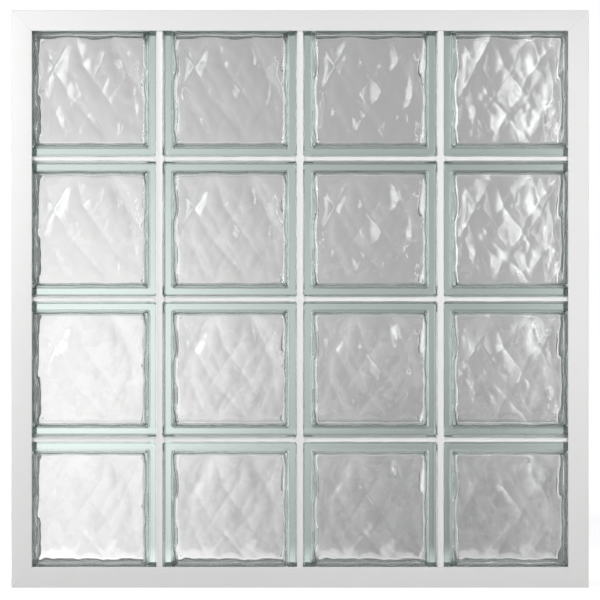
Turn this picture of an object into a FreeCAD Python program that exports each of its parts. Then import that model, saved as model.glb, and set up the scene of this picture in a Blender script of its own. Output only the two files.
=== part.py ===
"""Glass block window panel: hollow pressed glass blocks, set dry on vinyl spacer strips,
sealed along the joints on both faces and held in a mitred vinyl channel frame.

Lengths are in millimetres. X runs along the panel, Y through it and Z up. The front face
looks towards -Y, and the origin is the middle of the underside of the sill.
"""

import FreeCAD
import Part
import math
import os

from FreeCAD import Vector

# Grid of blocks: rows count from the top and columns from the left, seen from the front
ROWS = 4
COLUMNS = 4

# Glass block, a standard metric hollow block
BLOCK_WIDTH = 190.0
BLOCK_HEIGHT = 190.0
BLOCK_DEPTH = 80.0
BLOCK_CORNER_RADIUS = 4.0
EDGE_BEVEL = 2.5
RIM_LAND = 8.0
RIM_STEP = 1.5
KEY_RUN = 14.0
KEY_DEPTH = 4.0
SEAM_HEIGHT = 1.2
SEAM_WIDTH = 4.0
FACE_THICKNESS = 7.0
WALL_THICKNESS = 7.5
CAVITY_DRAFT = 4.0
CAVITY_BEVEL = 5.0
CAVITY_CORNER_CUT = 6.0

# Joints between the blocks
VERTICAL_JOINT = 5.0
HORIZONTAL_JOINT = 5.0

# Spacer strips: a web between the rims, with ribs that bear on the key floors
WEB_CLEARANCE = 0.3
RIB_THICKNESS = 2.4
RIB_SETBACK = 6.0

# Sealant beads, tooled hollow, on both faces of every joint
SEAL_DEPTH = 10.0
SEAL_HOLLOW = 0.8
VERTICAL_SEAL_SPREAD = 1.6
HORIZONTAL_SEAL_SPREAD = 0.3

# Frame: an extruded channel with a chambered base and two lips that hold the blocks
FRAME_FACE = 28.5
FRAME_BASE = 12.2
FRAME_WALL = 2.0
LIP_THICKNESS = 2.5
LIP_FLAT = 0.5
OUTER_ROUND = 1.0
CHAMBERS = 3
FACE_CLEARANCE = 0.5
EDGE_CLEARANCE = 0.3

# Sizes that follow from those above
GRID_WIDTH = COLUMNS * BLOCK_WIDTH + (COLUMNS - 1) * VERTICAL_JOINT
GRID_HEIGHT = ROWS * BLOCK_HEIGHT + (ROWS - 1) * HORIZONTAL_JOINT
PANEL_WIDTH = GRID_WIDTH + 2 * (EDGE_CLEARANCE + FRAME_BASE)
PANEL_HEIGHT = GRID_HEIGHT + 2 * (EDGE_CLEARANCE + FRAME_BASE)
PANEL_DEPTH = BLOCK_DEPTH + 2 * (FACE_CLEARANCE + LIP_THICKNESS)
HALF_DEPTH = BLOCK_DEPTH / 2
RIM_FRONT = HALF_DEPTH - EDGE_BEVEL
RIM_BACK = RIM_FRONT - RIM_LAND
KEY_FLOOR = RIM_BACK - KEY_RUN
SEAL_BACK = HALF_DEPTH - SEAL_DEPTH

X_AXIS = Vector(1, 0, 0)
Y_AXIS = Vector(0, 1, 0)
Z_AXIS = Vector(0, 0, 1)


def column_centre(column):
    """Middle of a column of blocks along X."""
    return (column - (COLUMNS - 1) / 2) * (BLOCK_WIDTH + VERTICAL_JOINT)


def row_centre(row):
    """Middle of a row of blocks along Z, with the bottom row standing on the sill's pocket floor."""
    rows_below = ROWS - 1 - row
    return FRAME_BASE + BLOCK_HEIGHT / 2 + rows_below * (BLOCK_HEIGHT + HORIZONTAL_JOINT)


def rounded_polygon(corners):
    """Closed wire of straight sides through (point, radius) corners, each rounded by its own radius."""
    arcs = []
    for index, (point, radius) in enumerate(corners):
        before = (corners[index - 1][0] - point).normalize()
        after = (corners[(index + 1) % len(corners)][0] - point).normalize()
        half_angle = before.getAngle(after) / 2
        setback = radius / math.tan(half_angle)
        middle = (before + after).normalize() * (radius / math.sin(half_angle) - radius)
        arcs.append((point + before * setback, point + middle, point + after * setback, radius))
    edges = []
    for index, (start, middle, end, radius) in enumerate(arcs):
        if radius > 0:
            edges.append(Part.Arc(start, middle, end).toShape())
        next_start = arcs[(index + 1) % len(arcs)][0]
        edges.append(Part.LineSegment(end, next_start).toShape())
    return Part.Wire(edges)


def rounded_face():
    """Outline of a block's face on y = 0, with rounded corners."""
    corners = []
    for side_x, side_z in ((-1, -1), (1, -1), (1, 1), (-1, 1)):
        point = Vector(side_x * BLOCK_WIDTH / 2, 0, side_z * BLOCK_HEIGHT / 2)
        corners.append((point, BLOCK_CORNER_RADIUS))
    return Part.Face(rounded_polygon(corners))


def cut_corner_face(inset, cut):
    """Outline of a block's face on y = 0, drawn in by an inset, with each corner cut off at 45 degrees."""
    wide = BLOCK_WIDTH / 2 - inset
    high = BLOCK_HEIGHT / 2 - inset
    half_turn = [
        Vector(wide, 0, cut - high),
        Vector(wide, 0, high - cut),
        Vector(wide - cut, 0, high),
        Vector(cut - wide, 0, high),
    ]
    corners = half_turn + [point * -1 for point in half_turn]
    return Part.Face(Part.makePolygon(corners + corners[:1]))


def bar_along_z(half_width, edge, length):
    """Bar along Z, centred on the origin, whose two sides follow an edge of (depth, inset) points."""
    right = [Vector(half_width - inset, depth, 0) for depth, inset in edge]
    left = [Vector(-corner.x, corner.y, 0) for corner in reversed(right)]
    corners = right + left
    profile = Part.Face(Part.makePolygon(corners + corners[:1]))
    return profile.extrude(Z_AXIS * length).translated(Z_AXIS * (-length / 2))


def pressed_form(half_depth, edge, outline):
    """What two crossed bars with the same edge and a prism of the face outline have in common."""
    upright = bar_along_z(BLOCK_WIDTH / 2, edge, BLOCK_HEIGHT)
    level = bar_along_z(BLOCK_HEIGHT / 2, edge, BLOCK_WIDTH).rotated(Vector(), Y_AXIS, 90)
    prism = outline.extrude(Y_AXIS * (2 * half_depth)).translated(Y_AXIS * -half_depth)
    return upright.common(level).common(prism).removeSplitter()


def mirrored_edge(front_half):
    """Edge of (depth, inset) points from the front face to the seam, repeated on the rear half."""
    return front_half + [(-depth, inset) for depth, inset in reversed(front_half) if depth < 0]


def pressed_shell():
    """Outside of a block: bevelled faces, rims that stand out, and a keyed edge with the halves' seam."""
    edge = mirrored_edge([
        (-HALF_DEPTH, EDGE_BEVEL),
        (-RIM_FRONT, 0.0),
        (-RIM_BACK, 0.0),
        (-RIM_BACK, RIM_STEP),
        (-KEY_FLOOR, KEY_DEPTH),
        (-SEAM_WIDTH / 2, KEY_DEPTH),
        (0.0, KEY_DEPTH - SEAM_HEIGHT),
    ])
    return pressed_form(HALF_DEPTH, edge, rounded_face())


def sealed_cavity():
    """Air space of a block, widest at the seam and drafted towards both faces as it left the mould."""
    seam_inset = KEY_DEPTH + WALL_THICKNESS
    face_inset = seam_inset + CAVITY_DRAFT
    face_depth = HALF_DEPTH - FACE_THICKNESS
    edge = mirrored_edge([
        (-face_depth, face_inset + CAVITY_BEVEL),
        (CAVITY_BEVEL - face_depth, face_inset),
        (0.0, seam_inset),
    ])
    return pressed_form(face_depth, edge, cut_corner_face(seam_inset, CAVITY_CORNER_CUT))


def glass_block():
    """One hollow block, two pressed halves fused at the seam, centred on the origin."""
    return pressed_shell().cut(sealed_cavity())


def spacer_strip(joint, length):
    """Strip along +Z from the origin: a web across the joint and ribs that bear on the key floors."""
    web = joint / 2 - WEB_CLEARANCE
    bearing = joint / 2 + KEY_DEPTH
    rib_outside = KEY_FLOOR - RIB_SETBACK
    rib_inside = rib_outside - RIB_THICKNESS
    quarter = (
        (web, rib_inside),
        (bearing, rib_inside),
        (bearing, rib_outside),
        (web, rib_outside),
        (web, SEAL_BACK),
    )
    one_side = [(across, -depth) for across, depth in reversed(quarter)] + list(quarter)
    other_side = [(-across, -depth) for across, depth in one_side]
    corners = [Vector(across, depth, 0) for across, depth in one_side + other_side]
    profile = Part.makePolygon(corners + corners[:1])
    return Part.Face(profile).extrude(Z_AXIS * length)


def seal_bead(joint, spread, length):
    """Front bead along +Z from the origin: it fills the joint up to the bevels and is hollow in front."""
    half = joint / 2
    edge_half = half + spread
    edge_depth = -RIM_FRONT - spread
    hollow = Part.Arc(
        Vector(-edge_half, edge_depth, 0),
        Vector(0, edge_depth + SEAL_HOLLOW, 0),
        Vector(edge_half, edge_depth, 0),
    )
    back = Part.makePolygon([
        Vector(edge_half, edge_depth, 0),
        Vector(half, -RIM_FRONT, 0),
        Vector(half, -SEAL_BACK, 0),
        Vector(-half, -SEAL_BACK, 0),
        Vector(-half, -RIM_FRONT, 0),
        Vector(-edge_half, edge_depth, 0),
    ])
    profile = Part.Wire([hollow.toShape()] + back.Edges)
    return Part.Face(profile).extrude(Z_AXIS * length)


def on_both_faces(bead):
    """A front bead and the same bead on the rear face of the panel."""
    return [bead, bead.rotated(Vector(), Z_AXIS, 180)]


def laid_along_x(shape):
    """A strip made along +Z, turned to run along +X from the same origin."""
    return shape.rotated(Vector(), Y_AXIS, 90)


def frame_profile():
    """Section of the frame channel, with the outer face on z = 0 and the pocket opening upwards."""
    half = PANEL_DEPTH / 2
    lip = half - LIP_THICKNESS
    lip_round = LIP_THICKNESS - LIP_FLAT
    outline = rounded_polygon([
        (Vector(0, -half, 0), OUTER_ROUND),
        (Vector(0, -half, FRAME_FACE), lip_round),
        (Vector(0, -lip, FRAME_FACE), 0.0),
        (Vector(0, -lip, FRAME_BASE), 0.0),
        (Vector(0, lip, FRAME_BASE), 0.0),
        (Vector(0, lip, FRAME_FACE), 0.0),
        (Vector(0, half, FRAME_FACE), lip_round),
        (Vector(0, half, 0), OUTER_ROUND),
    ])
    section = Part.Face(outline)
    chamber_pitch = (PANEL_DEPTH - FRAME_WALL) / CHAMBERS
    chamber_low = FRAME_WALL
    chamber_high = FRAME_BASE - FRAME_WALL
    for index in range(CHAMBERS):
        near = FRAME_WALL - half + index * chamber_pitch
        far = near + chamber_pitch - FRAME_WALL
        chamber = [
            Vector(0, near, chamber_low),
            Vector(0, far, chamber_low),
            Vector(0, far, chamber_high),
            Vector(0, near, chamber_high),
        ]
        section = section.cut(Part.Face(Part.makePolygon(chamber + chamber[:1])))
    return section


def frame_member(length):
    """Frame channel of a given outer length along X, mitred at both ends, with its outer face on z = 0."""
    half = length / 2
    bar = frame_profile().extrude(X_AXIS * length).translated(X_AXIS * -half)
    mitre = [
        Vector(-half, -PANEL_DEPTH, 0),
        Vector(half, -PANEL_DEPTH, 0),
        Vector(half - FRAME_FACE, -PANEL_DEPTH, FRAME_FACE),
        Vector(FRAME_FACE - half, -PANEL_DEPTH, FRAME_FACE),
    ]
    envelope = Part.Face(Part.makePolygon(mitre + mitre[:1])).extrude(Y_AXIS * (2 * PANEL_DEPTH))
    return bar.common(envelope)


def frame_nodes():
    """The four members of the frame, meeting at mitred corners."""
    middle = Vector(0, 0, PANEL_HEIGHT / 2)
    across = frame_member(PANEL_WIDTH)
    upright = frame_member(PANEL_HEIGHT).translated(Z_AXIS * ((PANEL_HEIGHT - PANEL_WIDTH) / 2))
    return {
        "frame_sill": across,
        "frame_head": across.rotated(middle, Y_AXIS, 180),
        "frame_left_jamb": upright.rotated(middle, Y_AXIS, 90),
        "frame_right_jamb": upright.rotated(middle, Y_AXIS, -90),
    }


def block_nodes():
    """Every glass block in its place in the grid."""
    block = glass_block()
    nodes = {}
    for row in range(ROWS):
        for column in range(COLUMNS):
            place = Vector(column_centre(column), 0, row_centre(row))
            nodes[f"glass_block_row{row + 1}_col{column + 1}"] = block.translated(place)
    return nodes


def vertical_joint_nodes():
    """Spacer strip and sealant of each joint between two columns, both running the full height."""
    strip = spacer_strip(VERTICAL_JOINT, GRID_HEIGHT)
    beads = on_both_faces(seal_bead(VERTICAL_JOINT, VERTICAL_SEAL_SPREAD, GRID_HEIGHT))
    nodes = {}
    for joint in range(COLUMNS - 1):
        middle = (column_centre(joint) + column_centre(joint + 1)) / 2
        foot = Vector(middle, 0, FRAME_BASE)
        nodes[f"vertical_spacer_{joint + 1}"] = strip.translated(foot)
        nodes[f"vertical_sealant_{joint + 1}"] = Part.Compound([bead.translated(foot) for bead in beads])
    return nodes


def horizontal_joint_nodes():
    """Spacer strip and sealant between two rows, cut to each column between the upright joints."""
    strip_half = BLOCK_WIDTH / 2 - KEY_DEPTH
    bead_half = BLOCK_WIDTH / 2 - VERTICAL_SEAL_SPREAD
    strip = laid_along_x(spacer_strip(HORIZONTAL_JOINT, 2 * strip_half))
    bead = seal_bead(HORIZONTAL_JOINT, HORIZONTAL_SEAL_SPREAD, 2 * bead_half)
    beads = [laid_along_x(each) for each in on_both_faces(bead)]
    nodes = {}
    for joint in range(ROWS - 1):
        height = (row_centre(joint) + row_centre(joint + 1)) / 2
        row_beads = []
        for column in range(COLUMNS):
            middle = column_centre(column)
            name = f"horizontal_spacer_{joint + 1}_col{column + 1}"
            nodes[name] = strip.translated(Vector(middle - strip_half, 0, height))
            row_beads += [each.translated(Vector(middle - bead_half, 0, height)) for each in beads]
        nodes[f"horizontal_sealant_{joint + 1}"] = Part.Compound(row_beads)
    return nodes


def main():
    """Write every node of the panel as a STEP file of its own."""
    os.makedirs("parts", exist_ok=True)
    nodes = {}
    nodes.update(frame_nodes())
    nodes.update(block_nodes())
    nodes.update(vertical_joint_nodes())
    nodes.update(horizontal_joint_nodes())
    for name, shape in nodes.items():
        shape.exportStep(os.path.join("parts", name + ".step"))


main()
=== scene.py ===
"""Glass block window panel: finished surfaces, materials and studio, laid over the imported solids."""

import math

import bpy
import numpy as np
from bpy.props import FloatProperty, FloatVectorProperty, IntProperty, PointerProperty
from bpy.types import Operator, Panel, PropertyGroup
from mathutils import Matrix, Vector


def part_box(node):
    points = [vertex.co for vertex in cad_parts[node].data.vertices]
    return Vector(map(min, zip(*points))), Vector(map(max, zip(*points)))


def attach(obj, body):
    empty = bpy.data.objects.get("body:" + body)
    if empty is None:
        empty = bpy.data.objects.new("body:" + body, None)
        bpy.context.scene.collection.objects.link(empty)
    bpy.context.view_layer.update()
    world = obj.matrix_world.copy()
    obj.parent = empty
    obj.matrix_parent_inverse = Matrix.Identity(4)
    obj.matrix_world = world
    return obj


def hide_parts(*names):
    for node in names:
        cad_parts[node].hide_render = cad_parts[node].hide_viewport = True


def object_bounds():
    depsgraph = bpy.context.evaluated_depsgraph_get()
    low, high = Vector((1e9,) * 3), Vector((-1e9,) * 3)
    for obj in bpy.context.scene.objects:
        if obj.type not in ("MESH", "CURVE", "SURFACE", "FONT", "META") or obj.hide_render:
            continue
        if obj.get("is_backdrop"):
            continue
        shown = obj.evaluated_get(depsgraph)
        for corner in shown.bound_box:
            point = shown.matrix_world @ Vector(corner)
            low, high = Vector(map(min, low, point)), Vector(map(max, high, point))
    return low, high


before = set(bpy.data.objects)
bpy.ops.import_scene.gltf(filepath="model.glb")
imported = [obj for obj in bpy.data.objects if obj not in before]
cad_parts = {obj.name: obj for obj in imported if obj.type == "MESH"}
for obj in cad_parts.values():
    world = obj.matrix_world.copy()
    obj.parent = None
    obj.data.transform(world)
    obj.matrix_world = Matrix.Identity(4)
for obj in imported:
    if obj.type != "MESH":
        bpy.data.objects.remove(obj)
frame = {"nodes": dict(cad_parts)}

bl_info = {
    "name": "Glass Block Window Panel",
    "version": (1, 0, 0),
    "blender": (4, 5, 0),
    "location": "View3D > Sidebar > Glass Panel",
    "description": "Pressed glass blocks, vinyl frame, sealant beads and a studio for a window panel",
    "category": "Object",
}

MM = 0.001
ROWS = 4
COLUMNS = 4


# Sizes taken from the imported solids

def block_node(row, column):
    """Name of a packed block, with rows from the top and columns from the left."""
    return f"glass_block_row{row}_col{column}"


def box_of(node):
    """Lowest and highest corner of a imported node, in metres."""
    low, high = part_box(node)
    return np.array(low, dtype=float), np.array(high, dtype=float)


def middle_of(node):
    """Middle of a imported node's box, in metres."""
    low, high = box_of(node)
    return (low + high) / 2


def joint_middle(first, second):
    """Point halfway between the middles of two neighbouring blocks, by row and column."""
    return (middle_of(block_node(*first)) + middle_of(block_node(*second))) / 2


BLOCK_LOW, BLOCK_HIGH = box_of(block_node(1, 1))
NEXT_LOW, _ = box_of(block_node(1, 2))
FOOT_LOW, _ = box_of(block_node(ROWS, COLUMNS))
BLOCK_SIZE = BLOCK_HIGH - BLOCK_LOW
JOINT_HALF = float(NEXT_LOW[0] - BLOCK_HIGH[0]) / 2
SILL_LOW, SILL_HIGH = box_of("frame_sill")
_, HEAD_HIGH = box_of("frame_head")
FRAME_FACE = float(SILL_HIGH[2] - SILL_LOW[2])
FRAME_BASE = float(FOOT_LOW[2] - SILL_LOW[2])
JOINT_X = [joint_middle((1, column), (1, column + 1))[0] for column in range(1, COLUMNS)]
JOINT_Z = [joint_middle((row, 1), (row + 1, 1))[2] for row in range(1, ROWS)]


# Settings that a user may change

def millimetres(name, description, default, least=0.0):
    """A length property, with its default and its least value given in millimetres."""
    return FloatProperty(name=name, description=description, default=default * MM, min=least * MM,
                         unit="LENGTH", precision=5)


def colour_setting(name, description, default):
    """A colour property."""
    return FloatVectorProperty(name=name, description=description, default=default, size=3,
                               min=0, max=1, subtype="COLOR")


def power_setting(name, description, default):
    """A property for a lamp's power, in watts."""
    return FloatProperty(name=name, description=description, default=default, min=0, unit="POWER")


class BlockSettings(PropertyGroup):
    """Shape and glass of the pressed blocks."""

    corner_radius: millimetres("Corner radius", "Radius of a block's corners in front view", 4, 3)
    edge_round: millimetres("Edge rounding", "Rounding between a block's face and its rim", 2.5, 0.5)
    rim_land: millimetres("Rim land", "Depth of the flat rim beside the face", 8, 2)
    key_run: millimetres("Key run", "Depth over which the rim slopes down to the key floor", 14, 1)
    key_depth: millimetres("Key depth", "How far the key floor lies inside the rim", 4, 0.5)
    seam_height: millimetres("Seam height", "Height of the fused seam at mid depth", 1.2, 0.1)
    face_thickness: millimetres("Face thickness", "Mean thickness of the patterned faces", 7, 3)
    wall_thickness: millimetres(
        "Wall thickness", "Wall between the key floor and the cavity at the seam", 7.5, 2)
    cavity_draft: millimetres("Cavity draft", "How much the cavity narrows from the seam to a face", 4)
    seam_ridge: millimetres("Seam ridge", "How far the fused seam stands into the cavity", 0.8)
    cavity_fillet: millimetres("Cavity fillet", "Rounding between the cavity's wall and its face", 5, 1)
    cavity_radius: millimetres("Cavity radius", "Radius of the cavity's corners in front view", 5, 3)
    wave_slope: FloatProperty(
        name="Wave slope", description="Steepest slope of the scoops of the wave pattern",
        default=0.19, min=0, max=0.5)
    wave_seed: IntProperty(
        name="Wave seed", description="Seed of the wave pattern's layout", default=11)
    tint: colour_setting("Tint", "Colour that thick glass takes on", (0.28, 1.0, 0.82))
    tint_density: FloatProperty(
        name="Tint density", description="Strength of the tint for each metre of glass",
        default=2.6, min=0)


class FrameSettings(PropertyGroup):
    """Profile and vinyl of the frame."""

    lip_thickness: millimetres("Lip thickness", "Thickness of the front and rear lips", 2.5, 1)
    lip_round: millimetres("Lip rounding", "Rounding at the tip of a lip", 0.8, 0.2)
    outer_round: millimetres("Outer rounding", "Rounding along the frame's outer edges", 1.0, 0.2)
    mitre_groove: millimetres("Mitre groove", "Depth of the fine groove along a mitre", 0.5, 0.01)
    colour: colour_setting("Vinyl colour", "Colour of the frame's vinyl", (0.87, 0.87, 0.865))


class JointSettings(PropertyGroup):
    """Sealant beads and spacer strips between the blocks."""

    vertical_spread: millimetres(
        "Vertical spread", "How far a vertical bead laps onto each block's edge", 1.6, 0.1)
    horizontal_spread: millimetres(
        "Horizontal spread", "How far a horizontal bead laps onto each edge", 0.3, 0.1)
    unevenness: millimetres("Unevenness", "How much a bead's lap changes along its run", 0.25)
    hollow: millimetres("Hollow", "How far the tooled face of a bead is hollowed", 0.8)
    bead_depth: millimetres("Bead depth", "Depth of a bead behind the blocks' faces", 10, 3)
    colour: colour_setting("Sealant colour", "Colour of the sealant", (0.92, 0.925, 0.92))
    spacer_colour: colour_setting("Spacer colour", "Colour of the spacer strips", (0.95, 0.96, 0.955))


class StageSettings(PropertyGroup):
    """Camera, softboxes, surroundings, and the card and flag that the glass shows."""

    camera_distance: FloatProperty(
        name="Camera distance", description="From the camera to the frame's front face",
        default=3.0, min=1, unit="LENGTH")
    card_gap: FloatProperty(
        name="Card gap", description="From the frame's rear face to the backdrop card",
        default=0.8, min=0.4, unit="LENGTH")
    left_power: power_setting("Left power", "Power of the left softbox", 10)
    right_power: power_setting("Right power", "Power of the right softbox", 15.2)
    near_power: power_setting("Near power", "Power of the near softbox at the left", 11.8)
    world_level: FloatProperty(
        name="World level", description="Brightness of the surroundings as light", default=0.21, min=0)


class PanelSettings(PropertyGroup):
    """All settings of the window panel."""

    blocks: PointerProperty(type=BlockSettings)
    frame: PointerProperty(type=FrameSettings)
    joints: PointerProperty(type=JointSettings)
    stage: PointerProperty(type=StageSettings)


# Meshes from grids of points

def grid_quads(rows, columns, closed=False, flipped=False):
    """Quads between neighbouring points of a grid stored row by row.

    With closed, the last column joins the first. With flipped, the faces look the other way.
    """
    row = np.arange(rows - 1)[:, None]
    column = np.arange(columns if closed else columns - 1)[None, :]
    beside = (column + 1) % columns
    corners = [row * columns + column, row * columns + beside,
               (row + 1) * columns + beside, (row + 1) * columns + column]
    quads = np.stack(np.broadcast_arrays(*corners), axis=-1).reshape(-1, 4)
    return quads[:, ::-1] if flipped else quads


def sheet(x, y, z, **sides):
    """Points and quads of a sheet, from the coordinates of its grid of points."""
    points = np.stack(np.broadcast_arrays(x, y, z), axis=-1)
    return points.reshape(-1, 3), grid_quads(*points.shape[:2], **sides)


def joined(sheets):
    """One list of points and faces from several sheets, with points that coincide made one."""
    points = np.concatenate([points for points, _ in sheets])
    starts = np.cumsum([0] + [len(points) for points, _ in sheets[:-1]])
    quads = np.concatenate([quads + start for (_, quads), start in zip(sheets, starts)])
    keys = np.round(points / (0.001 * MM)).astype(np.int64)
    _, first, place = np.unique(keys, axis=0, return_index=True, return_inverse=True)
    return points[first], place.reshape(-1)[quads].tolist()


def swept(rings, along):
    """Points, faces and run coordinates of a bar whose closed section is carried along a run.

    rings holds one row of points for each station of the run. Quads join neighbouring rows, and one
    flat face closes each end. The run coordinates of a face's corners are the distance along the
    run, as given, and the distance round the first section.
    """
    stations, count = rings.shape[:2]
    quads = grid_quads(stations, count, closed=True)
    ends = np.stack([np.arange(count)[::-1], np.arange(count) + (stations - 1) * count])
    steps = np.linalg.norm(np.diff(rings[0], axis=0, append=rings[:1, 0]), axis=1)
    around = np.concatenate([[0], np.cumsum(steps)])
    along = np.broadcast_to(along, (stations, count)).ravel()
    column = np.broadcast_to(np.arange(count), (stations - 1, count)).reshape(-1, 1)
    quad_around = around[column + np.array([[0, 1, 1, 0]])]
    sides = np.stack([along[quads], quad_around], axis=-1).reshape(-1, 2)
    caps = np.stack([along[ends], around[ends % count]], axis=-1).reshape(-1, 2)
    return rings.reshape(-1, 3), quads.tolist() + ends.tolist(), np.concatenate([sides, caps])


def together(bars):
    """One list of points, faces and run coordinates from several bars that stay apart."""
    starts = np.cumsum([0] + [len(points) for points, _, _ in bars[:-1]])
    faces = [[index + int(start) for index in face]
             for (_, bar_faces, _), start in zip(bars, starts) for face in bar_faces]
    return (np.concatenate([points for points, _, _ in bars]), faces,
            np.concatenate([run for _, _, run in bars]))


def add_surface(name, points, faces, material):
    """A smooth mesh object in the scene, with its place in its mesh."""
    mesh = bpy.data.meshes.new(name)
    mesh.from_pydata(points, [], faces)
    if mesh.validate():
        raise RuntimeError(f"{name} has faces that had to be taken out")
    mesh.shade_smooth()
    mesh.materials.append(material)
    surface = bpy.data.objects.new(name, mesh)
    bpy.context.scene.collection.objects.link(surface)
    return surface


def add_piece(name, points, faces, material, slot, *nodes, run=None, sharp=None, keyed=None):
    """A finished mesh piece on the fixed body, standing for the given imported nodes.

    run gives each face corner its run coordinates, sharp is the angle past which an edge is drawn
    sharp, and keyed marks the points of a keyed edge.
    """
    piece = add_surface(name, points, faces, material)
    mesh = piece.data
    if run is not None:
        mesh.uv_layers.new(name="run").data.foreach_set("uv", np.ascontiguousarray(run).ravel())
    if keyed is not None:
        mesh.attributes.new("keyed edge", "FLOAT", "POINT").data.foreach_set("value", keyed)
    if sharp is not None:
        mesh.set_sharp_from_angle(angle=sharp)
    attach(piece, "root")
    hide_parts(*nodes)


# Glass blocks

SEAM_HALF = 2.5 * MM  # half width of the fused seam outside
RIDGE_HALF = 3 * MM  # half width of its ridge in the cavity
WAVE_FADE = 20 * MM  # width over which the relief fades at a face's border
WAVE_LEFT = 0.35  # share of the relief that is left at the border
WAVE_TOP = 0.5 * MM  # relief height from which the border is pushed inwards


def stops_along(straight, corner):
    """Grid stops from -2 to 2: the straight part of a side lies in -1 to 1, its corners beyond."""
    middle = np.linspace(-1, 1, straight + 1)
    end = np.linspace(1, 2, corner + 1)[1:]
    return np.concatenate([-end[::-1], middle, end])


def rounded_square(u, v, half, radius):
    """A point of a square with rounded corners, from stops u and v along its two directions.

    On the straight part a stop is a share of half minus radius. In a corner, p and q are the
    shares of the radius along the two directions, and the point lies at p * sqrt(1 - q^2 / 2) and
    q * sqrt(1 - p^2 / 2), which turns the corner's square into a quarter of a disc.
    """
    p = np.clip(np.abs(u) - 1, 0, 1)
    q = np.clip(np.abs(v) - 1, 0, 1)
    x = np.minimum(np.abs(u), 1) * (half - radius) + p * np.sqrt(1 - q * q / 2) * radius
    z = np.minimum(np.abs(v), 1) * (half - radius) + q * np.sqrt(1 - p * p / 2) * radius
    return np.sign(u) * x, np.sign(v) * z


def square_outline(stops):
    """Stops u and v once round a square, anticlockwise from its lower left corner."""
    there, back = stops[:-1], stops[:0:-1]
    low, high = np.full(len(there), -2.0), np.full(len(there), 2.0)
    return np.concatenate([there, high, back, low]), np.concatenate([low, there, high, back])


def quarter_round(start, end, steps):
    """Points from start to end along a quarter of an ellipse: first sideways, then straight on."""
    turn = np.linspace(0, math.pi / 2, steps + 1)
    return np.stack([start[0] + (end[0] - start[0]) * np.sin(turn),
                     start[1] + (end[1] - start[1]) * (1 - np.cos(turn))], axis=1)


def block_edge_profile(blocks):
    """Inset and depth of a block's edge from its front face to its rear face.

    A quarter round leads from the face to the rim, a cosine slope from the rim's flat land to the
    key floor, and a cosine bump at mid depth is the fused seam. The rear half mirrors the front.
    """
    half = BLOCK_SIZE[1] / 2
    land_end = half - blocks.edge_round - blocks.rim_land
    floor_start = land_end - blocks.key_run
    edge = quarter_round((blocks.edge_round, half), (0, half - blocks.edge_round), 6)
    slope = np.linspace(0, 1, 11)
    key = np.stack([blocks.key_depth * (1 - np.cos(slope * math.pi)) / 2,
                    land_end + (floor_start - land_end) * slope], axis=1)
    rise = np.linspace(0, 1, 6)
    seam = np.stack([blocks.key_depth - blocks.seam_height * (1 - np.cos(rise * math.pi)) / 2,
                     SEAM_HALF * (1 - rise)], axis=1)
    front = np.concatenate([edge, key, seam])
    return np.concatenate([front, (front * [1, -1])[-2::-1]])


def cavity_profile(blocks):
    """Inset and depth of the cavity's wall from its front face to its rear face.

    A quarter round leads from each face to the wall, which widens to the seam along a curve, depth
    to the power of 1.6. There the fused glass stands inwards as a cosine ridge.
    """
    half = BLOCK_SIZE[1] / 2
    seam_inset = blocks.key_depth + blocks.wall_thickness
    face_inset = seam_inset + blocks.cavity_draft
    face_depth = half - blocks.face_thickness
    fillet = quarter_round((face_inset + blocks.cavity_fillet, face_depth),
                           (face_inset, face_depth - blocks.cavity_fillet), 8)
    wall_end = face_depth - blocks.cavity_fillet
    depth = np.concatenate([np.linspace(wall_end, RIDGE_HALF, 5)[1:], np.linspace(RIDGE_HALF, 0, 6)[1:]])
    ridge = (1 + np.cos(math.pi * np.minimum(depth / RIDGE_HALF, 1))) / 2
    inset = seam_inset + blocks.cavity_draft * (depth / wall_end) ** 1.6 + blocks.seam_ridge * ridge
    front = np.concatenate([fillet, np.stack([inset, depth], axis=1)])
    return np.concatenate([front, (front * [1, -1])[-2::-1]])


def scoop_set(random, lean, pitch, lengths, widths, top=2.0):
    """Centres, directions, half lengths and half widths of one set of scoops in the pressing plate.

    Centres sit in staggered rows turned to the lean of the set, in degrees, and are shaken out of
    line, in shares of half a block. Only those on the face or close to it are kept, up to a top.
    """
    reach, shake, face_edge, swing = 1.9, 0.35, 0.95, 13
    rows, places = int(reach / pitch[1]) + 1, int(reach / pitch[0]) + 1
    row, place = np.meshgrid(np.arange(-rows, rows + 1), np.arange(-places, places + 1))
    grid = np.stack([place + 0.5 * (row % 2), row], axis=-1).reshape(-1, 2)
    grid = (grid + random.uniform(-shake, shake, grid.shape)) * pitch
    turn = math.radians(lean)
    centre = np.stack([grid[:, 0] * math.cos(turn) - grid[:, 1] * math.sin(turn),
                       grid[:, 0] * math.sin(turn) + grid[:, 1] * math.cos(turn)], axis=1)
    centre = centre[(np.abs(centre).max(axis=1) < face_edge + pitch[1]) & (centre[:, 1] < top)]
    count = len(centre)
    direction = np.radians(lean + random.normal(0, swing, count))
    return centre, direction, random.uniform(*lengths, count), random.uniform(*widths, count)


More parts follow.
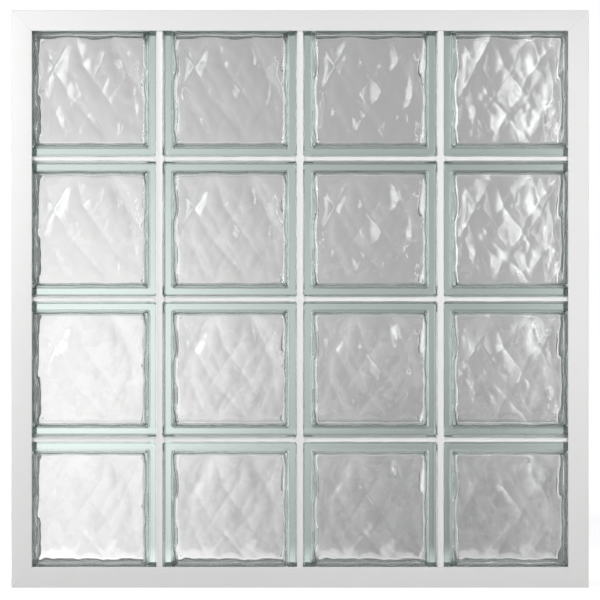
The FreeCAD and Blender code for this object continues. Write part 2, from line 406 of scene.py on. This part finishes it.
def wave_relief(x, z, half, blocks):
    """Height of the wave pattern over a face, in metres, with a mean of about zero.

    Each scoop is a long paraboloid bowl: depth times (p / length)^2 + (q / width)^2 - 1, with p and
    q along and across its direction. In a set the scoops meet in softened ridges: the set is the
    soft minimum of its bowls, minus k times the logarithm of the sum of exp(-bowl / k). The relief
    is the sum of two broad sets that cross, two fine ones, and short upright scoops low on the face
    that are cut into a flat, less its mean height over the face.
    """
    random = np.random.default_rng(blocks.wave_seed)
    mean_height, softness = 0.09, 0.0002
    broad = {"pitch": (0.85, 0.40), "lengths": (0.5, 0.85), "widths": (0.15, 0.28)}
    fine = {"pitch": (0.55, 0.17), "lengths": (0.3, 0.5), "widths": (0.07, 0.13)}
    upright = {"pitch": (0.6, 0.2), "lengths": (0.3, 0.4), "widths": (0.09, 0.14), "top": -0.5}
    relief = -mean_height * blocks.wave_slope * half
    # Lean in degrees, share of the slope, cuts, and 1 where they are made in a flat
    for lean, share, cuts, flat in (
            (57, 0.75, broad, 0), (122, 0.70, broad, 0), (48, 0.22, fine, 0), (128, 0.22, fine, 0),
            (91, 0.35, upright, 1)):
        centre, direction, length, width = scoop_set(random, lean, **cuts)
        across = x[..., None] / half - centre[:, 0]
        up = z[..., None] / half - centre[:, 1]
        p = across * np.cos(direction) + up * np.sin(direction)
        q = up * np.cos(direction) - across * np.sin(direction)
        depth = share * blocks.wave_slope * width / 2
        bowl = depth * ((p / length) ** 2 + (q / width) ** 2 - 1)
        set_relief = -softness * np.log(np.exp(-bowl / softness).sum(axis=-1) + flat)
        relief = relief + (set_relief + depth.mean()) * half
    return relief


def border_share(x, z, half, width):
    """0 at the border of a square face and 1 from width inwards, along a smooth step."""
    share = np.clip((half - np.maximum(np.abs(x), np.abs(z))) / width, 0, 1)
    return share * share * (3 - 2 * share)


def block_shell(blocks):
    """Points and quads of a block's outside, about the block's own middle."""
    half = BLOCK_SIZE[0] / 2
    stops = stops_along(4, 4)
    u, v = (stop[None, :] for stop in square_outline(stops))
    profile = block_edge_profile(blocks)
    inset, depth = profile[:, :1], profile[:, 1:]
    radius = np.maximum(blocks.corner_radius - inset, 3 * MM)
    x, z = rounded_square(u, v, half - inset, radius)
    sheets = [sheet(x, -depth, z, closed=True, flipped=True)]

    # A narrow row along the border keeps the bend of its shading off the flat face
    border = np.array([1.97, 2])
    face_stops = np.unique(np.concatenate([stops, border, -border]))
    x, z = rounded_square(*np.meshgrid(face_stops, face_stops), half - blocks.edge_round,
                          blocks.corner_radius - blocks.edge_round)
    for side in (-1, 1):
        sheets.append(sheet(x, side * BLOCK_SIZE[1] / 2, z, flipped=side > 0))
    return sheets


def block_cavity(blocks):
    """Points and quads of a block's cavity, facing into it, with the wave relief on both faces.

    Both halves come from one mould, so the rear face has the front one's relief turned about the
    upright axis. The relief fades towards the border of a face. There it also moves the fillet and
    the wall below it inwards, by how far it lies under a top height times a factor, so that the
    border runs in waves, most at the two sides. Down the wall this dies out evenly.
    """
    half = BLOCK_SIZE[0] / 2
    stops = stops_along(72, 4)
    profile = cavity_profile(blocks)
    inset, depth = profile[:, :1], profile[:, 1:]
    face_half = half - inset[0, 0]
    face_depth = BLOCK_SIZE[1] / 2 - blocks.face_thickness
    fillet_end = face_depth - blocks.cavity_fillet

    def waved(u, v, flat_half, shares, pushes):
        """Points of a face or of the wall's rings, with each side's relief times its shares."""
        x, z = rounded_square(u, v, flat_half, blocks.cavity_radius)
        push, rise = 0, 0
        at_sides = u ** 8 / (u ** 8 + v ** 8 + 1e-9)
        scallop = 0.5 + 1.7 * at_sides
        for side in (-1, 1):
            relief = wave_relief(-side * x, z, half, blocks)
            push = push + np.minimum(relief - WAVE_TOP, 0) * pushes[side] * scallop
            rise = rise - side * relief * shares[side]
        edge = (np.maximum(np.abs(u), np.abs(v)) / 2) ** 10
        x, z = rounded_square(u, v, flat_half + push * edge, blocks.cavity_radius)
        return x, z, rise * (WAVE_LEFT + (1 - WAVE_LEFT) * border_share(x, z, face_half, WAVE_FADE))

    u, v = (stop[None, :] for stop in square_outline(stops))
    shares = {side: np.clip((-side * depth - fillet_end) / blocks.cavity_fillet, 0, 1)
              for side in (-1, 1)}
    pushes = {side: np.clip(-side * depth / face_depth, 0, 1) for side in (-1, 1)}
    x, z, rise = waved(u, v, half - inset, shares, pushes)
    sheets = [sheet(x, rise - depth, z, closed=True)]
    u, v = np.meshgrid(stops, stops)
    for side in (-1, 1):
        only = {side: 1, -side: 0}
        x, z, rise = waved(u, v, face_half, only, only)
        sheets.append(sheet(x, rise + side * face_depth, z, flipped=side < 0))
    return sheets


def keyed_edge(points, blocks):
    """1 for the points of a block's keyed edge, between its two rims, and 0 for the others."""
    margin = 0.5 * MM
    side = np.abs(points[:, [0, 2]]).max(axis=1) > BLOCK_SIZE[0] / 2 - blocks.key_depth - margin
    between = np.abs(points[:, 1]) < BLOCK_SIZE[1] / 2 - blocks.edge_round - margin
    return (side & between).astype(np.float32)


class GLASSPANEL_OT_blocks(Operator):
    """Add the sixteen hollow pressed glass blocks"""

    bl_idname = "glass_panel.add_blocks"
    bl_label = "Add Glass Blocks"

    def execute(self, context):
        blocks = context.scene.glass_panel.blocks
        glass = glass_material(blocks)
        points, faces = joined(block_shell(blocks) + block_cavity(blocks))
        keyed = keyed_edge(points, blocks)
        for row in range(1, ROWS + 1):
            for column in range(1, COLUMNS + 1):
                node = block_node(row, column)
                add_piece(f"pressed_block_row{row}_col{column}", points + middle_of(node), faces,
                          glass, "block_glass", node, keyed=keyed)
        return {"FINISHED"}


# Frame

def frame_section(vinyl, inset=0.0):
    """Closed outline of the frame's channel: distance from its outer edge and depth.

    Straight sides with a quarter round at each outer edge and at the front edge of each lip's tip.
    With an inset, the outline is drawn in by that much all round.
    """
    half = (SILL_HIGH[1] - SILL_LOW[1]) / 2
    lip = half - vinyl.lip_thickness
    edge, tip = vinyl.outer_round, vinyl.lip_round
    turn = np.linspace(0, math.pi / 2, 7)
    outer_edge = np.stack([edge - (edge - inset) * np.cos(turn),
                           edge - half - (edge - inset) * np.sin(turn)], axis=1)
    lip_tip = np.stack([FRAME_FACE - tip + (tip - inset) * np.sin(turn),
                        tip - half - (tip - inset) * np.cos(turn)], axis=1)
    pocket = np.array([[FRAME_FACE - inset, -lip - inset], [FRAME_BASE - inset, -lip - inset]])
    front = np.concatenate([outer_edge, lip_tip, pocket])
    return np.concatenate([front, (front * [1, -1])[::-1]])


def frame_member(half_length, vinyl):
    """Points and faces of a frame member with its outer face on z = 0, mitred at both ends.

    The section is carried along X. Each of its points stops at the mitre, half_length less its
    distance from the outer edge, and the last stretch narrows by a fine groove along the mitre.
    """
    full, narrowed = frame_section(vinyl), frame_section(vinyl, vinyl.mitre_groove)
    groove_width = 1.4 * vinyl.mitre_groove
    rings = []
    for side, section, gap in ((-1, narrowed, 0), (-1, full, 1), (1, full, 1), (1, narrowed, 0)):
        end = half_length - section[:, 0] - gap * groove_width
        rings.append(np.stack([side * end, section[:, 1], section[:, 0]], axis=1))
    rings = np.stack(rings)
    return swept(rings, rings[..., 0])


class GLASSPANEL_OT_frame(Operator):
    """Add the four mitred members of the vinyl frame"""

    bl_idname = "glass_panel.add_frame"
    bl_label = "Add Frame"

    def execute(self, context):
        vinyl = context.scene.glass_panel.frame
        material = vinyl_material(vinyl)
        wide = float(SILL_HIGH[0] - SILL_LOW[0]) / 2
        high = float(HEAD_HIGH[2] - SILL_LOW[2]) / 2
        across, faces, across_run = frame_member(wide, vinyl)
        upright, _, upright_run = frame_member(high, vinyl)
        members = {
            "sill": across,
            "head": across * [-1, 1, -1] + [0, 0, 2 * high],
            "left_jamb": upright[:, [2, 1, 0]] * [1, 1, -1] + [-wide, 0, high],
            "right_jamb": upright[:, [2, 1, 0]] * [-1, 1, 1] + [wide, 0, high],
        }
        for name, points in members.items():
            run = upright_run if name.endswith("jamb") else across_run
            add_piece(f"vinyl_{name}", points, faces, material, "frame_vinyl", f"frame_{name}",
                      run=run, sharp=math.radians(35))
        return {"FINISHED"}


# Sealant beads

def tool_marks(run, seed):
    """Slow uneven swing along a bead, from -1 to 1: the mean of four sines of random length."""
    random = np.random.default_rng(seed)
    length = random.uniform(0.02, 0.11, (4, 1))
    start = random.uniform(0, 2 * math.pi, (4, 1))
    return np.sin(2 * math.pi * run / length + start).mean(axis=0)


def corner_gap(run, crossings, radius):
    """How much wider than a plain joint the gap is beside the rounded corners of the blocks.

    Near a crossing the gap follows the corner's arc, radius minus sqrt(radius^2 - t^2), with t the
    distance past the start of the arc, and at most about half the radius is added.
    """
    near = np.abs(np.asarray(run)[:, None] - np.asarray(crossings)[None, :]).min(axis=1)
    past = np.clip(JOINT_HALF + radius - near, 0, 0.86 * radius)
    return radius - np.sqrt(radius ** 2 - past ** 2)


def bead_section(run, crossings, spread, seed, joints, blocks):
    """Rows of points across a front bead: distance from the joint's middle, and depth.

    The tooled face is a shallow parabola between the two laps. Each side follows the block's rounded
    edge down to its rim, a hair away from the glass, and then runs straight to the bead's back.
    """
    round_edge = blocks.edge_round
    least, most = 0.03 * round_edge, 0.9 * round_edge
    lap = np.clip(spread + joints.unevenness * tool_marks(run, seed), least, most)[:, None]
    gap = (JOINT_HALF + corner_gap(run, crossings, blocks.corner_radius))[:, None]
    rim = BLOCK_SIZE[1] / 2 - round_edge
    angle = np.arccos(1 - lap / round_edge)
    share = np.linspace(-1, 1, 11)[None, :]
    hollow = joints.hollow * (1 + 0.3 * tool_marks(run, seed + 1))[:, None]
    face_across = share * (gap + lap)
    face_depth = rim + round_edge * np.sin(angle) - hollow * (1 - share ** 2)
    edge_angle = angle * np.array([[0.75, 0.5, 0.25, 0.0]])
    off = 1.01 * round_edge
    edge_across = gap + round_edge - off * np.cos(edge_angle)
    edge_depth = rim + off * np.sin(edge_angle)
    back_across = edge_across[:, -1:]
    back_depth = np.full_like(back_across, BLOCK_SIZE[1] / 2 - joints.bead_depth)
    across = np.concatenate([face_across, edge_across, back_across, -back_across,
                             -edge_across[:, ::-1]], axis=1)
    depth = np.concatenate([face_depth, edge_depth, back_depth, back_depth,
                            edge_depth[:, ::-1]], axis=1)
    return across, depth


def stations_between(start, end, crossings, reach):
    """Places along a run, about 6 mm apart and closer together near the crossings."""
    even = np.linspace(start, end, max(2, int((end - start) / (6 * MM))))
    close = (np.asarray(crossings)[:, None] + np.linspace(-reach, reach, 25)[None, :]).ravel()
    inside = close[(close > start + 0.2 * MM) & (close < end - 0.2 * MM)]
    return np.unique(np.round(np.concatenate([even, inside]), 6))


def bead_pair(run, crossings, spread, seed, joints, blocks):
    """Front and rear bead over one run, as bars with X across the joint, Y in depth, Z along it."""
    bars = []
    for side in (-1, 1):
        across, depth = bead_section(run, crossings, spread, seed + side, joints, blocks)
        along = np.broadcast_to(run[:, None], across.shape)
        bars.append(swept(np.stack([side * across, side * depth, along], axis=-1), along))
    return bars


class GLASSPANEL_OT_sealant(Operator):
    """Add the tooled sealant beads on both faces of every joint"""

    bl_idname = "glass_panel.add_sealant"
    bl_label = "Add Sealant"

    def execute(self, context):
        joints, blocks = context.scene.glass_panel.joints, context.scene.glass_panel.blocks
        material = sealant_material(joints)
        reach = JOINT_HALF + blocks.corner_radius
        foot, top = float(FOOT_LOW[2]), float(BLOCK_HIGH[2])
        bend = math.radians(50)
        for number, x in enumerate(JOINT_X):
            run = stations_between(foot, top, JOINT_Z, reach)
            points, faces, run = together(bead_pair(
                run, JOINT_Z, joints.vertical_spread, 10 * number + 1, joints, blocks))
            add_piece(f"upright_bead_{number + 1}", points * [-1, 1, 1] + [x, 0, 0], faces, material,
                      "joint_sealant", f"vertical_sealant_{number + 1}", run=run, sharp=bend)
        for number, z in enumerate(JOINT_Z):
            bars = []
            for column in range(1, COLUMNS + 1):
                low, high = box_of(block_node(1, column))
                inset = joints.vertical_spread
                run = stations_between(low[0] + inset, high[0] - inset, JOINT_X, reach)
                bars += bead_pair(run, JOINT_X, joints.horizontal_spread,
                                  100 + 10 * number + 2 * column, joints, blocks)
            points, faces, run = together(bars)
            add_piece(f"level_bead_{number + 1}", points[:, [2, 1, 0]] + [0, 0, z], faces, material,
                      "joint_sealant", f"horizontal_sealant_{number + 1}", run=run, sharp=bend)
        return {"FINISHED"}


class GLASSPANEL_OT_spacers(Operator):
    """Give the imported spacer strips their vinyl"""

    bl_idname = "glass_panel.dress_spacers"
    bl_label = "Dress Spacers"

    def execute(self, context):
        material = spacer_material(context.scene.glass_panel.joints)
        for name, node in frame["nodes"].items():
            if "spacer" in name:
                node.material_slots[0].material = material
        return {"FINISHED"}


# Shader node groups

def new_group(name, inputs, outputs):
    """An empty shader node group with the given sockets: the group, its inputs and its output node."""
    group = bpy.data.node_groups.new(name, "ShaderNodeTree")
    for socket, default in inputs.items():
        kind = "NodeSocketVector" if default is None else "NodeSocketFloat"
        item = group.interface.new_socket(socket, in_out="INPUT", socket_type=kind)
        if default is not None:
            item.default_value = default
    for socket in outputs:
        group.interface.new_socket(socket, in_out="OUTPUT", socket_type="NodeSocketFloat")
    return group, group.nodes.new("NodeGroupInput").outputs, group.nodes.new("NodeGroupOutput")


def fill_inputs(tree, node, inputs):
    """Set or link a node's inputs by name, with underscores for spaces, or by number, as in i0."""
    for name, value in inputs.items():
        socket = node.inputs[int(name[1:]) if name[1:].isdigit() else name.replace("_", " ")]
        if isinstance(value, bpy.types.NodeSocket):
            tree.links.new(value, socket)
        else:
            socket.default_value = value


def put(tree, kind, outlet=0, **inputs):
    """Add a node, fill its inputs, and give back one of its outputs.

    Names with a leading underscore set properties of the node itself.
    """
    node = tree.nodes.new(kind)
    for name in [name for name in inputs if name.startswith("_")]:
        setattr(node, name[1:], inputs.pop(name))
    fill_inputs(tree, node, inputs)
    return node.outputs[outlet]


def reckon(tree, operation, *values):
    """A Math node on sockets or numbers."""
    return put(tree, "ShaderNodeMath", _operation=operation,
               **{f"i{number}": value for number, value in enumerate(values)})


def smooth_step(tree, value, start, end, low=0.0, high=1.0):
    """A smooth step of a value, from low at start to high at end."""
    return put(tree, "ShaderNodeMapRange", _interpolation_type="SMOOTHSTEP", Value=value,
               From_Min=start, From_Max=end, To_Min=low, To_Max=high)


def axes_of(tree, vector):
    """The X, Y and Z of a vector, by name."""
    return put(tree, "ShaderNodeSeparateXYZ", i0=vector).node.outputs


def tone_swing(tree, noise, amount):
    """A tone about 1: the noise less its middle, 0.5, times twice the amount, plus 1."""
    swing = reckon(tree, "MULTIPLY", reckon(tree, "SUBTRACT", noise, 0.5), amount)
    return reckon(tree, "MULTIPLY_ADD", swing, 2.0, 1.0)


def moulded_grain():
    """Group for moulded and drawn plastic: slow mottling of the tone, and the height of a fine grain."""
    group, given, result = new_group(
        "moulded grain", {"Vector": None, "Grain Scale": 1500.0, "Mottle": 0.02}, ("Tone", "Height"))
    vector = given["Vector"]
    slow = put(group, "ShaderNodeTexNoise", Vector=vector, Scale=14.0, Detail=3.0)
    tone = tone_swing(group, slow, given["Mottle"])
    fine = put(group, "ShaderNodeTexNoise", Vector=vector, Scale=given["Grain Scale"], Detail=2.0)
    fill_inputs(group, result, {"Tone": tone, "Height": fine})
    return group


def drawn_lines():
    """Group for faint lines along a run, from run coordinates: die lines in vinyl, tooling in sealant."""
    group, given, result = new_group(
        "drawn lines", {"Run": None, "Lines": 600.0, "Stretch": 1.5, "Depth": 0.02}, ("Tone", "Height"))
    axes = axes_of(group, given["Run"])
    along = reckon(group, "MULTIPLY", axes["X"], given["Stretch"])
    around = reckon(group, "MULTIPLY", axes["Y"], given["Lines"])
    place = put(group, "ShaderNodeCombineXYZ", X=along, Y=around)
    lines = put(group, "ShaderNodeTexNoise", Vector=place, Scale=1.0, Detail=2.0)
    tone = tone_swing(group, lines, given["Depth"])
    fill_inputs(group, result, {"Tone": tone, "Height": lines})
    return group


def handling_film():
    """Group for the thin uneven film that handling and wiping leave, as a mask from 0 to 1."""
    group, given, result = new_group(
        "handling film", {"Vector": None, "Patch Scale": 9.0, "Amount": 0.5}, ("Mask",))
    softness = 0.22
    patch = put(group, "ShaderNodeTexNoise", Vector=given["Vector"], Scale=given["Patch Scale"],
                Detail=5.0, Roughness=0.65, Distortion=0.6)
    edge = reckon(group, "SUBTRACT", 1.0, given["Amount"])
    mask = smooth_step(group, patch, reckon(group, "SUBTRACT", edge, softness),
                       reckon(group, "ADD", edge, softness))
    fill_inputs(group, result, {"Mask": mask})
    return group


def use_group(tree, build, **inputs):
    """The outputs of a node with a shared group, which is made on first use."""
    node = tree.nodes.new("ShaderNodeGroup")
    node.node_tree = bpy.data.node_groups.get(build.__name__.replace("_", " ")) or build()
    fill_inputs(tree, node, inputs)
    return node.outputs


# Materials

def fresh_material(name):
    """An empty node material: the material, its node tree and its output node."""
    material = bpy.data.materials.new(name)
    material.use_nodes = True
    tree = material.node_tree
    tree.nodes.clear()
    return material, tree, tree.nodes.new("ShaderNodeOutputMaterial")


def toned(tree, colour, tone):
    """A colour times a tone."""
    return put(tree, "ShaderNodeVectorMath", _operation="SCALE", i0=colour, Scale=tone)


def glass_material(blocks):
    """Clear pressed glass, green where light goes far inside it, dull on its keyed edge.

    A breath of film lies on the faces.
    """
    material, tree, output = fresh_material("pressed glass")
    place = put(tree, "ShaderNodeTexCoord", outlet="Object")
    film = use_group(tree, handling_film, Vector=place, Patch_Scale=11.0, Amount=0.4)["Mask"]
    ripple = put(tree, "ShaderNodeTexNoise", Vector=place, Scale=55.0, Detail=1.0)
    normal = put(tree, "ShaderNodeBump", Strength=0.02, Distance=0.001, Height=ripple)
    keyed = put(tree, "ShaderNodeAttribute", outlet="Fac", _attribute_name="keyed edge")
    dull = reckon(tree, "MULTIPLY_ADD", keyed, 0.3, reckon(tree, "MULTIPLY", film, 0.035))
    surface = put(tree, "ShaderNodeBsdfPrincipled", Base_Color=(1, 1, 1, 1), IOR=1.52,
                  Roughness=dull, Transmission_Weight=1.0, Normal=normal)
    body = put(tree, "ShaderNodeVolumeAbsorption", Color=(*blocks.tint, 1),
               Density=blocks.tint_density)
    tree.links.new(surface, output.inputs["Surface"])
    tree.links.new(body, output.inputs["Volume"])
    return material


def plastic_material(name, colour, ior, grain, film, rough, bump, lines=None, clear=0.0):
    """A plastic with moulded grain, a film of handling and, where it is drawn, lines along its run.

    grain is its scale, mottling and share in the height beside the lines, film the scale and amount
    of its patches, rough the roughness and what the film adds, bump its strength and distance, and
    lines their count for each metre, stretch and depth.
    """
    material, tree, output = fresh_material(name)
    place = put(tree, "ShaderNodeTexCoord", outlet="Object")
    grained = use_group(tree, moulded_grain, Vector=place, Grain_Scale=grain[0], Mottle=grain[1])
    mask = use_group(tree, handling_film, Vector=place, Patch_Scale=film[0], Amount=film[1])["Mask"]
    shade, height = toned(tree, tuple(colour), grained["Tone"]), grained["Height"]
    if lines:
        run = put(tree, "ShaderNodeUVMap", _uv_map="run")
        drawn = use_group(tree, drawn_lines, Run=run, Lines=lines[0], Stretch=lines[1], Depth=lines[2])
        shade = toned(tree, shade, drawn["Tone"])
        height = reckon(tree, "MULTIPLY_ADD", height, grain[2], drawn["Height"])
    surface = put(tree, "ShaderNodeBsdfPrincipled", Base_Color=shade, IOR=ior,
                  Roughness=reckon(tree, "MULTIPLY_ADD", mask, rough[1], rough[0]),
                  Transmission_Weight=clear,
                  Normal=put(tree, "ShaderNodeBump", Strength=bump[0], Distance=bump[1], Height=height))
    tree.links.new(surface, output.inputs["Surface"])
    return material


def vinyl_material(vinyl):
    """White satin vinyl with die lines along each member."""
    return plastic_material("white frame vinyl", vinyl.colour, 1.53, grain=(1800.0, 0.015, 0.35),
                            film=(7.0, 0.45), rough=(0.5, 0.12), bump=(0.12, 0.0002),
                            lines=(420.0, 1.2, 0.012))


def sealant_material(joints):
    """White cured sealant with tooling marks along each bead."""
    return plastic_material("white joint sealant", joints.colour, 1.41, grain=(900.0, 0.03, 0.4),
                            film=(16.0, 0.5), rough=(0.4, 0.2), bump=(0.25, 0.0003),
                            lines=(900.0, 9.0, 0.02))


def spacer_material(joints):
    """Clear vinyl of the spacer strips, dulled by its grain."""
    return plastic_material("spacer vinyl", joints.spacer_colour, 1.53, grain=(1100.0, 0.05),
                            film=(20.0, 0.4), rough=(0.12, 0.1), bump=(0.2, 0.0002), clear=1.0)


# Stage

def add_softbox(name, place, aim, wide, high, power):
    """An upright softbox that looks at a point, brightest in its middle and soft towards its edges.

    Its strength is (1 - s^2) * (1 - t^2), with s and t from -1 to 1 across and up its face.
    """
    light = bpy.data.lights.new(name, "AREA")
    light.shape = "RECTANGLE"
    light.size = wide
    light.size_y = high
    light.energy = power
    light.use_nodes = True
    tree = light.node_tree
    glow = tree.nodes["Emission"]
    axes = axes_of(tree, put(tree, "ShaderNodeNewGeometry", outlet="Parametric"))
    shares = []
    for axis in ("X", "Y"):
        place_on = reckon(tree, "MULTIPLY_ADD", axes[axis], 2.0, -1.0)
        shares.append(reckon(tree, "SUBTRACT", 1.0, reckon(tree, "MULTIPLY", place_on, place_on)))
    tree.links.new(reckon(tree, "MULTIPLY", *shares), glow.inputs["Strength"])
    lamp = bpy.data.objects.new(name, light)
    lamp.location = place
    lamp.rotation_euler = (Vector(aim) - Vector(place)).to_track_quat("-Z", "Y").to_euler()
    lamp.visible_camera = False
    bpy.context.scene.collection.objects.link(lamp)


def card_sweep(near, far, wide, high, bend):
    """Points and faces of the backdrop card: flat on the floor, a quarter bend, then upright."""
    turn = np.linspace(0, math.pi / 2, 13)
    depth = np.concatenate([[near], far - bend + bend * np.sin(turn), [far]])
    above_floor = 2 * MM
    height = np.concatenate([[0], bend - bend * np.cos(turn), [high]]) + above_floor
    points, quads = sheet(np.array([[-wide, wide]]), depth[:, None], height[:, None])
    return points, quads.tolist()


def card_material():
    """Backdrop card seen through the glass: grey, with a soft painted pool of light at the lower left.

    The card glows in place of being lit, so all its light is painted. Its strength is a base that
    rises with height, plus a near part that dies out away from the panel, plus a bell for the pool,
    exp(-r^2), with r the scaled distance from its middle. Towards the two sides it goes over to white.
    """
    # Painted light on the card: a base brighter higher up, a near glow, a pool of light and white sides
    base_low, base_high, painted_near_glow, painted_pool_glow, white = 0.18, 0.40, 0.4, 0.66, 1.0
    material, tree, output = fresh_material("backdrop card")
    place = put(tree, "ShaderNodeTexCoord", outlet="Object")
    from_pool = put(tree, "ShaderNodeMapping", _vector_type="TEXTURE", Vector=place,
                    Location=(-0.42, 0, 0.17), Scale=(0.376, 1000, 0.6))
    square = put(tree, "ShaderNodeVectorMath", outlet="Value", _operation="DOT_PRODUCT",
                 i0=from_pool, i1=from_pool)
    bell = reckon(tree, "EXPONENT", reckon(tree, "MULTIPLY", square, -1.0))
    axes = axes_of(tree, place)
    base = smooth_step(tree, axes["Z"], -0.1, 0.4, base_low, base_high)
    near = smooth_step(tree, axes["Y"], 0.15, 0.55, painted_near_glow, 0.0)
    pool = reckon(tree, "MULTIPLY_ADD", bell, painted_pool_glow, reckon(tree, "ADD", base, near))
    side = smooth_step(tree, reckon(tree, "ABSOLUTE", axes["X"]), 0.23, 1.0)
    strength = put(tree, "ShaderNodeMix", Factor=side, A=pool, B=white)
    glow = put(tree, "ShaderNodeEmission", Color=(1.0, 0.975, 0.975, 1), Strength=strength)
    tree.links.new(glow, output.inputs["Surface"])
    return material


def flag_material():
    """Even grey of the flag behind the camera, which the glass faces mirror."""
    material, tree, output = fresh_material("grey flag")
    glow = put(tree, "ShaderNodeEmission", Color=(1, 1, 1, 1), Strength=0.4)
    tree.links.new(glow, output.inputs["Surface"])
    return material


def seen_by_eye(tree):
    """1 for camera, glossy and transmission rays, which show the studio, and 0 for the others."""
    path = tree.nodes.new("ShaderNodeLightPath")
    sharp = reckon(tree, "MAXIMUM", path.outputs["Is Glossy Ray"], path.outputs["Is Transmission Ray"])
    return reckon(tree, "MAXIMUM", path.outputs["Is Camera Ray"], sharp)


def floor_material():
    """Pale floor that keeps the panel's shadow close by and fades to the white of the studio."""
    material, tree, output = fresh_material("pale floor")
    place = put(tree, "ShaderNodeTexCoord", outlet="Object")
    away = put(tree, "ShaderNodeVectorMath", outlet="Value", _operation="LENGTH", i0=place)
    fade = smooth_step(tree, away, 0.5, 2.5, low=0.64)
    glow = put(tree, "ShaderNodeEmission", Color=(1, 1, 1, 1),
               Strength=reckon(tree, "MULTIPLY", fade, seen_by_eye(tree)))
    matt = put(tree, "ShaderNodeBsdfDiffuse", Color=(0.6, 0.6, 0.6, 1))
    both = put(tree, "ShaderNodeAddShader", i0=matt, i1=glow)
    tree.links.new(both, output.inputs["Surface"])
    return material


def light_world(level):
    """White surroundings for the camera, glass and gloss, and a plainer level for lighting."""
    world = bpy.data.worlds.new("studio")
    bpy.context.scene.world = world
    world.use_nodes = True
    tree = world.node_tree
    strength = put(tree, "ShaderNodeMapRange", Value=seen_by_eye(tree), To_Min=level, To_Max=1.0)
    tree.links.new(strength, tree.nodes["Background"].inputs["Strength"])
    tree.nodes["Background"].inputs["Color"].default_value = (1, 1, 1, 1)


class GLASSPANEL_OT_stage(Operator):
    """Set up the camera, softboxes, floor, backdrop card and grey flag"""

    bl_idname = "glass_panel.add_stage"
    bl_label = "Add Stage"

    def execute(self, context):
        stage = context.scene.glass_panel.stage
        scene = context.scene
        low, high = (np.array(corner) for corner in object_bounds())
        width, middle = high[0] - low[0], (high[2] + low[2]) / 2

        ground = np.array([(-8, -8, 0), (8, -8, 0), (8, 8, 0), (-8, 8, 0)], dtype=float)
        floor = add_surface("floor", ground, [(0, 1, 2, 3)], floor_material())
        points, faces = card_sweep(near=high[1] + 0.01, far=high[1] + stage.card_gap,
                                   wide=1.5, high=1.8, bend=0.3)
        card = add_surface("backdrop card", points, faces, card_material())
        behind = low[1] - stage.camera_distance - 0.5
        upright = np.array([(4, behind, 0.01), (-4, behind, 0.01), (-4, behind, 4), (4, behind, 4)])
        flag = add_surface("grey flag", upright, [(0, 1, 2, 3)], flag_material())
        flag.visible_diffuse = False
        for surface in (floor, card, flag):
            surface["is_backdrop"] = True
        for surface in (card, flag):
            surface.visible_camera = False
            surface.visible_shadow = False

        # Name, middle, width, height and power
        for name, place, wide, tall, power in (
                ("left softbox", (-1.2, -1.3, 1.1), 0.8, 1.1, stage.left_power),
                ("right softbox", (0.74, -1.05, 0.68), 0.6, 1.05, stage.right_power),
                ("near softbox", (-0.9, -0.72, 0.8), 0.8, 0.9, stage.near_power)):
            add_softbox(name, place, (0, 0, middle), wide, tall, power)
        light_world(stage.world_level)

        camera_drop, margin = 1.5 * MM, 1.039
        camera_data = bpy.data.cameras.new("camera")
        camera = bpy.data.objects.new("camera", camera_data)
        scene.collection.objects.link(camera)
        camera.location = (0, low[1] - stage.camera_distance, middle - camera_drop)
        camera.rotation_euler = (math.pi / 2, 0, 0)
        camera_data.sensor_width = 36
        camera_data.lens = 36 * stage.camera_distance / (width * margin)
        camera_data.clip_end = 50
        scene.camera = camera
        scene.view_settings.view_transform = "Standard"
        scene.cycles.max_bounces = 24
        scene.cycles.transmission_bounces = 24
        return {"FINISHED"}


# Sidebar and registration

class GLASSPANEL_PT_sidebar(Panel):
    """Buttons and sizes for the window panel."""

    bl_label = "Glass Block Window Panel"
    bl_space_type = "VIEW_3D"
    bl_region_type = "UI"
    bl_category = "Glass Panel"

    def draw(self, context):
        settings = context.scene.glass_panel
        for group, operators in (
                (settings.blocks, (GLASSPANEL_OT_blocks,)),
                (settings.frame, (GLASSPANEL_OT_frame,)),
                (settings.joints, (GLASSPANEL_OT_sealant, GLASSPANEL_OT_spacers)),
                (settings.stage, (GLASSPANEL_OT_stage,))):
            column = self.layout.box().column()
            for name in group.bl_rna.properties.keys():
                if name not in {"rna_type", "name"}:
                    column.prop(group, name)
            for operator in operators:
                column.operator(operator.bl_idname)


CLASSES = (BlockSettings, FrameSettings, JointSettings, StageSettings, PanelSettings,
           GLASSPANEL_OT_blocks, GLASSPANEL_OT_frame, GLASSPANEL_OT_sealant,
           GLASSPANEL_OT_spacers, GLASSPANEL_OT_stage, GLASSPANEL_PT_sidebar)


def register():
    """Make the classes and the scene's settings known."""
    for cls in CLASSES:
        bpy.utils.register_class(cls)
    bpy.types.Scene.glass_panel = PointerProperty(type=PanelSettings)


def unregister():
    """Take the settings and the classes out again."""
    del bpy.types.Scene.glass_panel
    for cls in reversed(CLASSES):
        bpy.utils.unregister_class(cls)


def main():
    """Build all the pieces and the stage."""
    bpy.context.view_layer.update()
    register()
    bpy.ops.glass_panel.add_blocks()
    bpy.ops.glass_panel.add_frame()
    bpy.ops.glass_panel.add_sealant()
    bpy.ops.glass_panel.dress_spacers()
    bpy.ops.glass_panel.add_stage()


if __name__ == "__main__":
    main()
